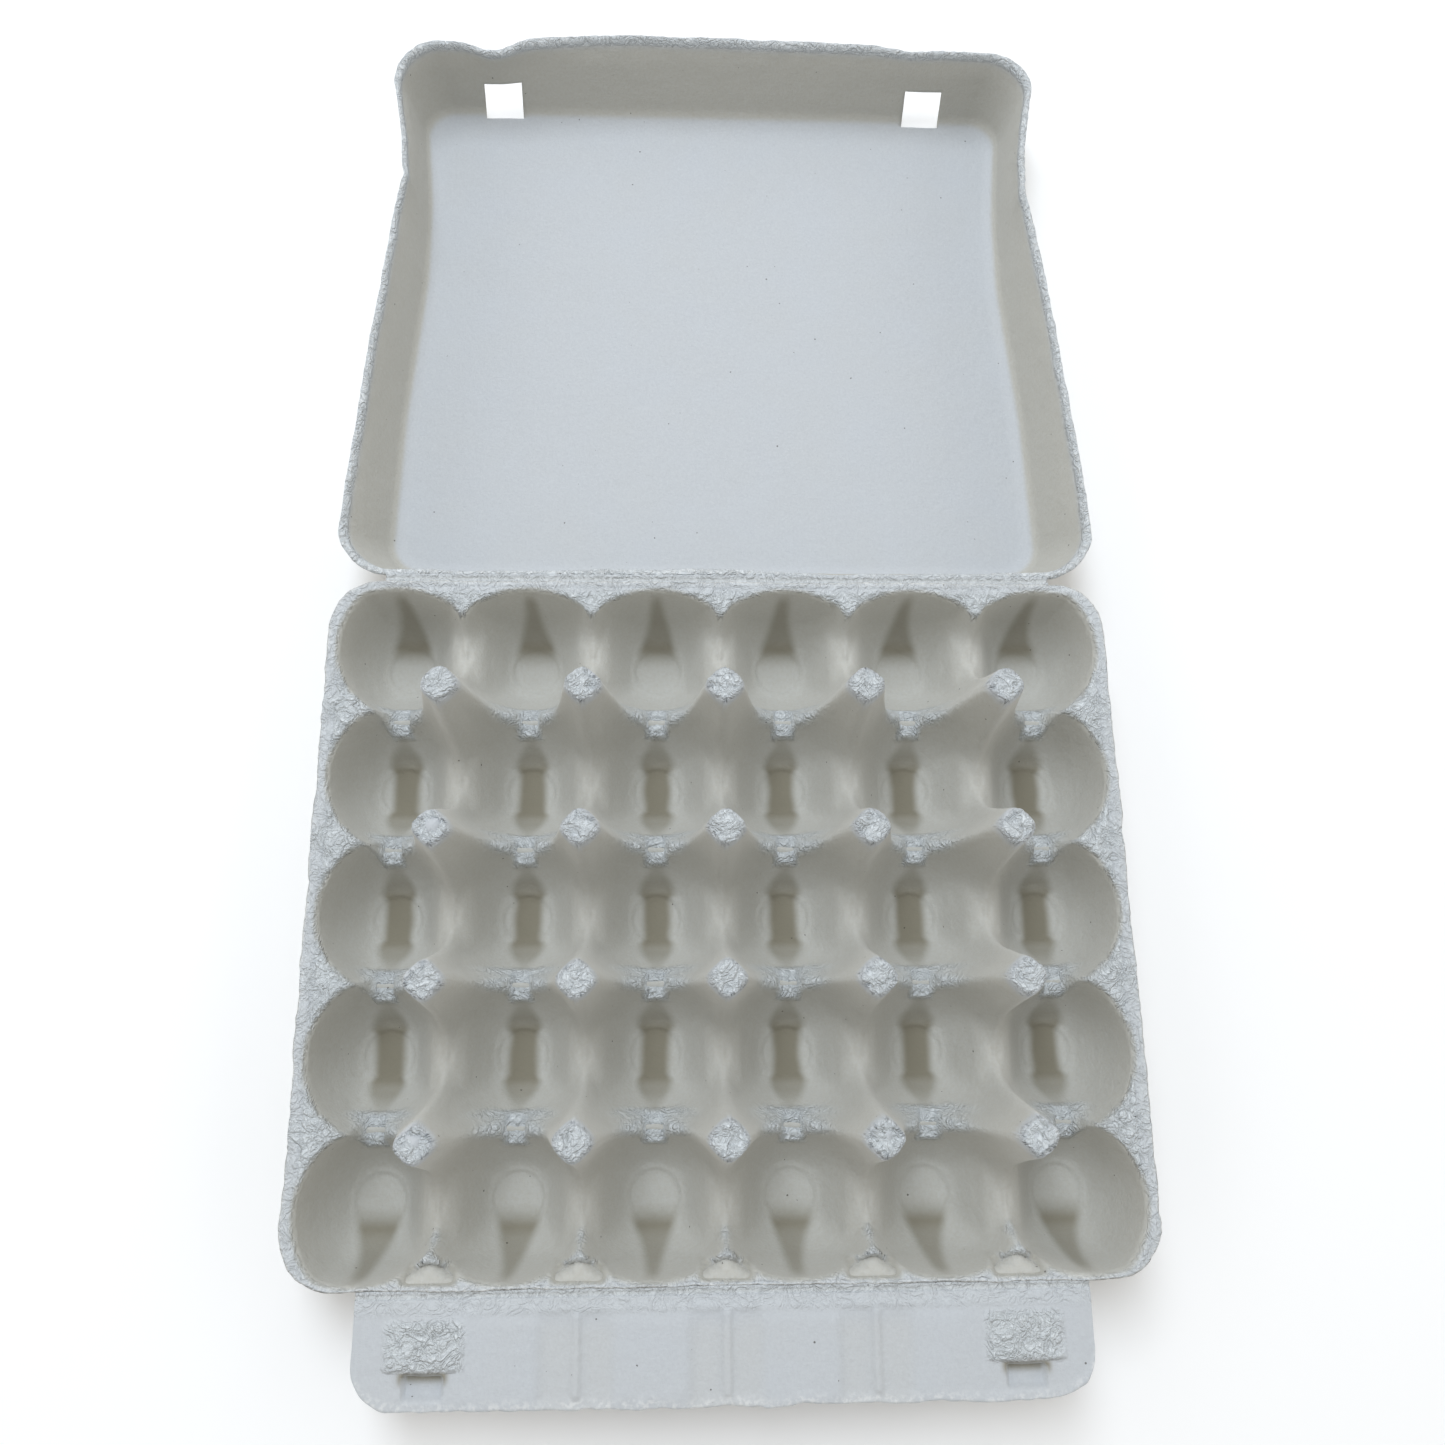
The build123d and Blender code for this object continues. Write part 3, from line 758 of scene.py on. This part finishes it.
def flap_height(x, s, lower):
    """Height of the flap's upper or lower face, at x across it and s out from its root."""
    ax = np.abs(x)
    # Bands across the post lines are pressed in; those across the cells stand up.
    swell = smooth_step(3.0, 9.0, s) * smooth_step(FLAP_LENGTH + 2, FLAP_LENGTH - 5, s)
    middle = smooth_step(86, 70, ax)
    pressed = pressed_band(x)
    z = ((0.35 if lower else 0.85) * (1 - pressed) - (0.0 if lower else 0.35) * pressed) * swell * middle
    z = z + (0.0 if lower else 0.4) * np.exp(-(((s - 3.4) / 1.1) ** 2)) * middle
    # The lug: a crinkled hump, then a steep step down into the lug's pocket.
    across = ax - LUG_X
    hump = smooth_step(13.0, 9.5, np.abs(across)) * smooth_step(6.0, 9.0, s) * smooth_step(21.6, 19.6, s)
    rise = 0.25 if lower else 0.55
    z = z + rise * hump * (0.5 + 0.5 * smooth_step(5.0, 18.0, s))
    wide = LUG_HALF - (0.2 if lower else 1.4)
    lug_from = LUG_FROM + (0.1 if lower else 1.2)
    lug_to = LUG_TO - (0.1 if lower else 1.2)
    pocket = smooth_step(wide + 0.5, wide - 0.5, np.abs(across))
    pocket = pocket * smooth_step(lug_from - 0.5, lug_from + 0.5, s)
    pocket = pocket * smooth_step(lug_to + 1.0, lug_to - 1.5, s)
    z = z - LUG_DROP * 0.98 * pocket
    if not lower:
        for rib_x in (-PITCH_X, 0.0, PITCH_X):
            rib = smooth_step(1.7, 0.9, np.abs(x - rib_x)) * smooth_step(4.2, 5.4, s)
            z = z + rib * smooth_step(30.0, 28.6, s)
    return z


def build_flap():
    edge_angle = np.linspace(0, math.pi / 2, 18)
    straight = np.linspace(-(FLAP_HALF - FLAP_CORNER), FLAP_HALF - FLAP_CORNER, FLAP_COLUMNS)
    arc = FLAP_HALF - FLAP_CORNER + FLAP_CORNER * np.sin(edge_angle[1:])
    xs = np.concatenate([-arc[::-1], straight, arc])
    past = np.maximum(np.abs(xs) - (FLAP_HALF - FLAP_CORNER), 0)
    length = FLAP_LENGTH - FLAP_CORNER + np.sqrt(np.maximum(FLAP_CORNER**2 - past**2, 0))
    line = np.c_[xs, 0 * xs, 0 * xs]
    length = length + 0.45 * noise3(line, 14.0, seed=61) + 0.35 * noise3(line, 4.0, seed=62) - 0.75
    # A bite torn out of the deckled edge, and a rougher stretch at the right corner.
    length = length + 0.8 * np.exp(-(((xs - 13) / 2.2) ** 2)) - 0.7 * np.exp(-(((xs - 24) / 3.0) ** 2))
    n, m = len(xs), FLAP_ROWS
    share = np.linspace(0, 1, m)
    s = share[:, None] * length[None, :]
    x = np.broadcast_to(xs, (m, n))
    faces = []
    for lower in (False, True):
        z = flap_height(x, s, lower) + (RIM_Z - WALL if lower else RIM_Z)
        faces.append(np.stack([x, -s, z], -1).reshape(-1, 3))
    root_row, right_end = np.arange(n), np.arange(1, m) * n + n - 1
    tip_row, left_end = (m - 1) * n + np.arange(n - 2, -1, -1), np.arange(m - 2, 0, -1) * n
    rim_index = np.concatenate([root_row, right_end, tip_row, left_end])
    middle = 0.5 * (faces[0][rim_index] + faces[1][rim_index])
    out = np.zeros_like(middle)
    out[:, 0] = np.sign(middle[:, 0]) * (np.abs(middle[:, 0]) > FLAP_HALF - 0.1)
    out[:, 1] = -1.0 * (middle[:, 1] < -3)
    middle = middle + out * 0.25
    points = np.vstack(faces + [middle])
    i, j = np.meshgrid(np.arange(m - 1), np.arange(n - 1), indexing="ij")
    here = (i * n + j).ravel()
    top = np.stack([here, here + n, here + n + 1, here + 1], -1)
    count = len(rim_index)
    after = np.roll(np.arange(count), -1)
    ring = 2 * m * n + np.arange(count)
    low = rim_index + m * n
    quads = np.vstack(
        [
            top,
            top[:, ::-1] + m * n,
            np.stack([rim_index, rim_index[after], ring[after], ring], -1),
            np.stack([ring, ring[after], low[after], low], -1),
        ]
    )
    normals = vertex_normals(points, quads)
    x, y, z = points.T.copy()
    s = -y
    up = smooth_step(0.2, 0.7, normals[:, 2])
    across = np.abs(x) - LUG_X
    crinkle = smooth_step(14.0, 10.0, np.abs(across)) * smooth_step(5.0, 8.0, s)
    crinkle = crinkle * smooth_step(21.5, 20.0, s) * up
    push = 0.10 * fractal(points, 13.0, seed=71) + 0.05 * noise3(points, 2.8, seed=72)
    wrinkled = points * np.array([0.35, 1.0, 0.6])
    push = push + crinkle * 1.1 * (creased(wrinkled, 3.4, seed=73, layers=3) - 0.55)
    tip = smooth_step(4.0, 0.5, np.interp(np.abs(x), np.abs(xs[n // 2 :]), length[n // 2 :]) - s)
    push = push + tip * 0.25 * noise3(points, 3.5, seed=75)
    points = points + normals * push[:, None]
    points[:, 2] += tip * 0.4 * noise3(np.c_[x, 0 * x, 0 * x], 30.0, seed=76)
    points[:, 1] += FLAP_ROOT
    pressed = pressed_band(x) * smooth_step(86, 70, np.abs(x)) * up
    # Painted shade in the lug's pocket.
    pocket = smooth_step(9.0, 6.5, np.abs(across)) * smooth_step(20.5, 21.8, s)
    pocket = pocket * smooth_step(26.0, 22.5, s) * up
    crinkle = np.maximum(crinkle, 0.25 * (smooth_step(6.0, 3.0, s) * up))
    # Painted shade on the pressed bands.
    shade = 0.22 * pressed * smooth_step(5.0, 12.0, s)
    masks = {"crinkle": crinkle, "bridge": 0 * x, "painted_hollow_shade": shade, "edge": tip, "painted_shade": pocket}
    piece = make_object("pulp_flap", points, quads, masks)
    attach(piece, "flap")
    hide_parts("locking_flap")
    return piece


# ---- Creases ----
def build_crease(name, node, width, back_y, front_y, seed):
    """A thin wrinkled strip of pulp that sags a little between the tray and the body beside it."""
    lap = 0.6
    n, m = int(width / 0.8), 11
    xs = np.linspace(-width / 2, width / 2, n)
    ys = np.linspace(front_y - lap, back_y + lap, m)
    x, y = np.meshgrid(xs, ys, indexing="ij")
    across = (y - front_y) / (back_y - front_y)
    sag = 0.55 * np.exp(-(((across - 0.5) / 0.28) ** 2))
    line = np.c_[x.ravel(), y.ravel(), 0 * x.ravel()]
    wrinkle = (creased(line * np.array([0.22, 1, 1]), 2.2, seed=seed) - 0.6).reshape(x.shape) * 0.35
    upper = RIM_Z - 0.25 - sag + wrinkle
    points = np.vstack(
        [
            np.stack([x, y, upper], -1).reshape(-1, 3),
            np.stack([x, y, upper - CREASE_T], -1).reshape(-1, 3),
        ]
    )
    i, j = np.meshgrid(np.arange(n - 1), np.arange(m - 1), indexing="ij")
    here = (i * m + j).ravel()
    top = np.stack([here, here + m, here + m + 1, here + 1], -1)
    front_row, right_end = np.arange(n) * m, (n - 1) * m + np.arange(1, m)
    back_row, left_end = np.arange(n - 2, -1, -1) * m + m - 1, np.arange(m - 2, 0, -1)
    rim = np.concatenate([front_row, right_end, back_row, left_end])
    after = np.roll(rim, -1)
    quads = np.vstack([top, top[:, ::-1] + n * m, np.stack([after, rim, rim + n * m, after + n * m], -1)])
    count = len(points)
    # Painted shade along the fold line.
    fold = np.exp(-(((points[:, 1] - (back_y + front_y) / 2) / 0.7) ** 2))
    none = np.zeros(count)
    masks = {"crinkle": 0.5 + none, "bridge": none, "painted_hollow_shade": 0.6 * fold, "edge": none, "painted_shade": none}
    piece = make_object(name, points, quads, masks)
    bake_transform(piece)
    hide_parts(node)
    return piece


# ---- Material ----
PALE, BASE, WARM, DIRT = (0.66, 0.70, 0.72), (0.50, 0.525, 0.555), (0.50, 0.485, 0.43), (0.06, 0.05, 0.04)
SHADED, CRACKED, TORN = (0.24, 0.22, 0.165), (0.20, 0.21, 0.20), (0.86, 0.86, 0.84)


def pulp_material():
    """Off-white moulded pulp: felted fibres, faint mottling, dark specks, crumpled skin, painted shade in
    hollows, cell strips and pockets, and a pale tone on tops that is partly a painted highlight.
    """
    material = bpy.data.materials.new("moulded_pulp")
    material.use_nodes = True
    tree = material.node_tree
    nodes, links = tree.nodes, tree.links
    nodes.clear()
    output = nodes.new("ShaderNodeOutputMaterial")
    shader = nodes.new("ShaderNodeBsdfPrincipled")
    links.new(shader.outputs["BSDF"], output.inputs["Surface"])
    place = nodes.new("ShaderNodeTexCoord")

    def noise(scale, detail=3.0, rough=0.55, stretch=None):
        node = nodes.new("ShaderNodeTexNoise")
        node.inputs["Scale"].default_value = scale
        node.inputs["Detail"].default_value = detail
        node.inputs["Roughness"].default_value = rough
        source = place.outputs["Object"]
        if stretch:
            mapping = nodes.new("ShaderNodeMapping")
            mapping.inputs["Scale"].default_value = stretch
            links.new(source, mapping.inputs["Vector"])
            source = mapping.outputs["Vector"]
        links.new(source, node.inputs["Vector"])
        return node.outputs["Fac"]

    def math_node(kind, a, b=None, clamp=False):
        node = nodes.new("ShaderNodeMath")
        node.operation = kind
        node.use_clamp = clamp
        for socket, value in zip(node.inputs, (a, b)):
            if value is None:
                continue
            if isinstance(value, (int, float)):
                socket.default_value = value
            else:
                links.new(value, socket)
        return node.outputs[0]

    def spread(value, low, high):
        node = nodes.new("ShaderNodeMapRange")
        node.inputs["From Min"].default_value = low
        node.inputs["From Max"].default_value = high
        links.new(value, node.inputs["Value"])
        return node.outputs["Result"]

    def attribute(key):
        node = nodes.new("ShaderNodeAttribute")
        node.attribute_name = key
        return node.outputs["Fac"]

    def mix(factor, a, b):
        node = nodes.new("ShaderNodeMix")
        node.data_type = "RGBA"
        for socket, value in ((node.inputs["Factor"], factor), (node.inputs["A"], a), (node.inputs["B"], b)):
            if isinstance(value, (int, float)):
                socket.default_value = value
            elif isinstance(value, tuple):
                socket.default_value = (*value, 1.0)
            else:
                links.new(value, socket)
        return node.outputs["Result"]

    names = ("crinkle", "painted_hollow_shade", "edge", "bridge", "painted_shade")
    crinkle, painted_hollow_shade, edge, bridge, painted_shade = (attribute(name) for name in names)
    mottle = spread(noise(38.0, 4.0), 0.3, 0.7)
    fine = spread(noise(900.0, 2.0), 0.25, 0.75)
    colour = mix(math_node("MULTIPLY", mottle, 0.12), BASE, WARM)
    # Painted shade: hollows turn warmer and darker.
    colour = mix(math_node("MULTIPLY", painted_hollow_shade, 0.85), colour, WARM)
    colour = mix(math_node("MULTIPLY", fine, 0.22), colour, PALE)
    # The pale tone on crinkled tops, rims, bridges and ridge crests is partly the paler skin and partly a
    # painted highlight.
    skin = math_node("MAXIMUM", crinkle, bridge)
    colour = mix(math_node("MULTIPLY", skin, 0.9), colour, PALE)
    # Painted shade: the strips in the cells, the pockets and the lid's walls.
    colour = mix(math_node("MULTIPLY", painted_shade, 0.95), colour, SHADED)
    # Dark specks of old print, small and few.
    speck = nodes.new("ShaderNodeTexVoronoi")
    speck.inputs["Scale"].default_value = 210.0
    links.new(place.outputs["Object"], speck.inputs["Vector"])
    small = math_node("LESS_THAN", speck.outputs["Distance"], 0.075)
    rare = math_node("GREATER_THAN", noise(520.0, 0.0), 0.66)
    colour = mix(math_node("MULTIPLY", math_node("MULTIPLY", small, rare), 0.75), colour, DIRT)
    # Crumpled skin: sharp little folds, deeper where the pulp was stretched.
    def folds(scale, distortion):
        node = nodes.new("ShaderNodeTexNoise")
        node.inputs["Scale"].default_value = scale
        node.inputs["Detail"].default_value = 2.0
        node.inputs["Distortion"].default_value = distortion
        links.new(place.outputs["Object"], node.inputs["Vector"])
        away = math_node("ABSOLUTE", math_node("SUBTRACT", node.outputs["Fac"], 0.5))
        return spread(away, 0.0, 0.11)

    wide_fold, small_fold = folds(170.0, 1.6), folds(420.0, 1.2)
    crumple = math_node("ADD", math_node("MULTIPLY", wide_fold, 1.0), math_node("MULTIPLY", small_fold, 0.4))
    sparse = spread(noise(110.0, 2.0), 0.50, 0.62)
    crack = math_node("SUBTRACT", 1.0, spread(wide_fold, 0.0, 0.22), clamp=True)
    crack = math_node("MULTIPLY", math_node("MULTIPLY", crack, crinkle), sparse)
    colour = mix(math_node("MULTIPLY", crack, 0.75), colour, CRACKED)
    torn = math_node("MULTIPLY", edge, spread(noise(700.0, 2.0), 0.45, 0.65))
    colour = mix(math_node("MULTIPLY", torn, 0.35), colour, TORN)
    links.new(colour, shader.inputs["Base Color"])
    rough = nodes.new("ShaderNodeMapRange")
    rough.inputs["To Min"].default_value = 0.82
    rough.inputs["To Max"].default_value = 0.96
    links.new(noise(260.0, 3.0), rough.inputs["Value"])
    links.new(rough.outputs["Result"], shader.inputs["Roughness"])
    shader.inputs["Specular IOR Level"].default_value = 0.25
    shader.inputs["Sheen Weight"].default_value = 0.12
    # Felted fibres, then the folds of the crumpled skin, as fine relief.
    along_y, along_x = (noise(1500.0, 3.0, 0.6, stretch) for stretch in ((1.0, 0.35, 1.0), (0.35, 1.0, 1.0)))
    fibres = math_node("ADD", along_y, along_x)
    lumps = noise(330.0, 4.0, 0.6)
    height = math_node("ADD", math_node("MULTIPLY", fibres, 0.35), lumps)
    height = math_node("ADD", height, math_node("MULTIPLY", math_node("MULTIPLY", crumple, skin), 4.2))
    bump = nodes.new("ShaderNodeBump")
    bump.inputs["Strength"].default_value = 0.7
    bump.inputs["Distance"].default_value = 0.0004
    links.new(height, bump.inputs["Height"])
    links.new(bump.outputs["Normal"], shader.inputs["Normal"])
    return material


# ---- Build ----
tray = build_tray()
lid = build_lid()
flap = build_flap()
LID_CREASE_Y = (TRAY_BACK + MIDDLE_Y, LID_BACK)
FLAP_CREASE_Y = (FLAP_ROOT, TRAY_FRONT + MIDDLE_Y)
lid_crease = build_crease("pulp_lid_crease", "lid_crease", 249.0, LID_CREASE_Y[1], LID_CREASE_Y[0], 81)
flap_crease = build_crease(
    "pulp_flap_crease", "flap_crease", 2 * FLAP_HALF, FLAP_CREASE_Y[1], FLAP_CREASE_Y[0], 82
)
pulp = pulp_material()
for piece in (tray, lid, flap, lid_crease, flap_crease):
    piece.data.materials.append(pulp)


# ---- Floor, lights and camera ----
def floor_object():
    mesh = bpy.data.meshes.new("floor")
    size = 4.0
    corners = [(-size, -size, 0), (size, -size, 0), (size, size, 0), (-size, size, 0)]
    mesh.from_pydata(corners, [], [(0, 1, 2, 3)])
    floor = bpy.data.objects.new("floor", mesh)
    bpy.context.collection.objects.link(floor)
    material = bpy.data.materials.new("pale_floor")
    material.use_nodes = True
    shader = material.node_tree.nodes["Principled BSDF"]
    shader.inputs["Base Color"].default_value = (0.97, 0.97, 0.97, 1)
    shader.inputs["Roughness"].default_value = 0.9
    shader.inputs["Specular IOR Level"].default_value = 0.1
    mesh.materials.append(material)
    floor.location.z = -0.0002
    return floor


def area_light(name, place, target, size_x, size_y, power, colour):
    data = bpy.data.lights.new(name, "AREA")
    data.shape = "RECTANGLE"
    data.size, data.size_y = size_x, size_y
    data.energy = power
    data.color = colour
    light = bpy.data.objects.new(name, data)
    light.location = place
    light.rotation_euler = (Vector(target) - Vector(place)).to_track_quat("-Z", "Y").to_euler()
    bpy.context.collection.objects.link(light)
    return light


BANK_FROM, BANK_LIGHT, BACK_LIGHT, SKY_LIGHT = 0.60, 0.75, 0.2, 0.46

floor_object()
area_light("top", (-0.2, 0.6, 1.5), (0, 0, 0.03), 0.6, 1.1, 15.5, (0.90, 0.97, 1.06))
world = bpy.data.worlds.new("studio")
bpy.context.scene.world = world
world.use_nodes = True
sky = world.node_tree
background = sky.nodes["Background"]
direction = sky.nodes.new("ShaderNodeSeparateXYZ")
sky.links.new(sky.nodes.new("ShaderNodeTexCoord").outputs["Generated"], direction.inputs["Vector"])


def sky_node(kind, a, b):
    node = sky.nodes.new("ShaderNodeMath")
    node.operation = kind
    for socket, value in zip(node.inputs, (a, b)):
        if isinstance(value, float):
            socket.default_value = value
        elif value is not None:
            sky.links.new(value, socket)
    return node.outputs[0]


def sky_ramp(value, low, high):
    node = sky.nodes.new("ShaderNodeMapRange")
    node.interpolation_type = "SMOOTHSTEP"
    node.inputs["From Min"].default_value = low
    node.inputs["From Max"].default_value = high
    sky.links.new(value, node.inputs["Value"])
    return node.outputs["Result"]


# The sky: an even base, with mild broad banks of light to the left and right and a soft glow behind.
sideways = sky_node("ABSOLUTE", direction.outputs["X"], None)
banks = sky_node("MULTIPLY", sky_ramp(sideways, BANK_FROM, BANK_FROM + 0.12), sky_ramp(sideways, 0.97, 0.85))
glow = sky_ramp(direction.outputs["Y"], 0.0, 0.8)
strength = sky_node("ADD", sky_node("MULTIPLY", banks, BANK_LIGHT), sky_node("MULTIPLY", glow, BACK_LIGHT))
sky.links.new(sky_node("ADD", strength, SKY_LIGHT), background.inputs["Strength"])
background.inputs["Color"].default_value = (1.02, 1.0, 0.96, 1)
bpy.context.scene.view_settings.view_transform = "Standard"

camera_data = bpy.data.cameras.new("camera")
camera_data.sensor_width = 36.0
camera_data.lens = 28.65
camera = bpy.data.objects.new("camera", camera_data)
camera.location = (-0.0159, (MIDDLE_Y - 37.35) * MM, 0.4404)
camera.rotation_euler = (math.radians(14.576), math.radians(-2.153), math.radians(-0.497))
bpy.context.collection.objects.link(camera)
bpy.context.scene.camera = camera
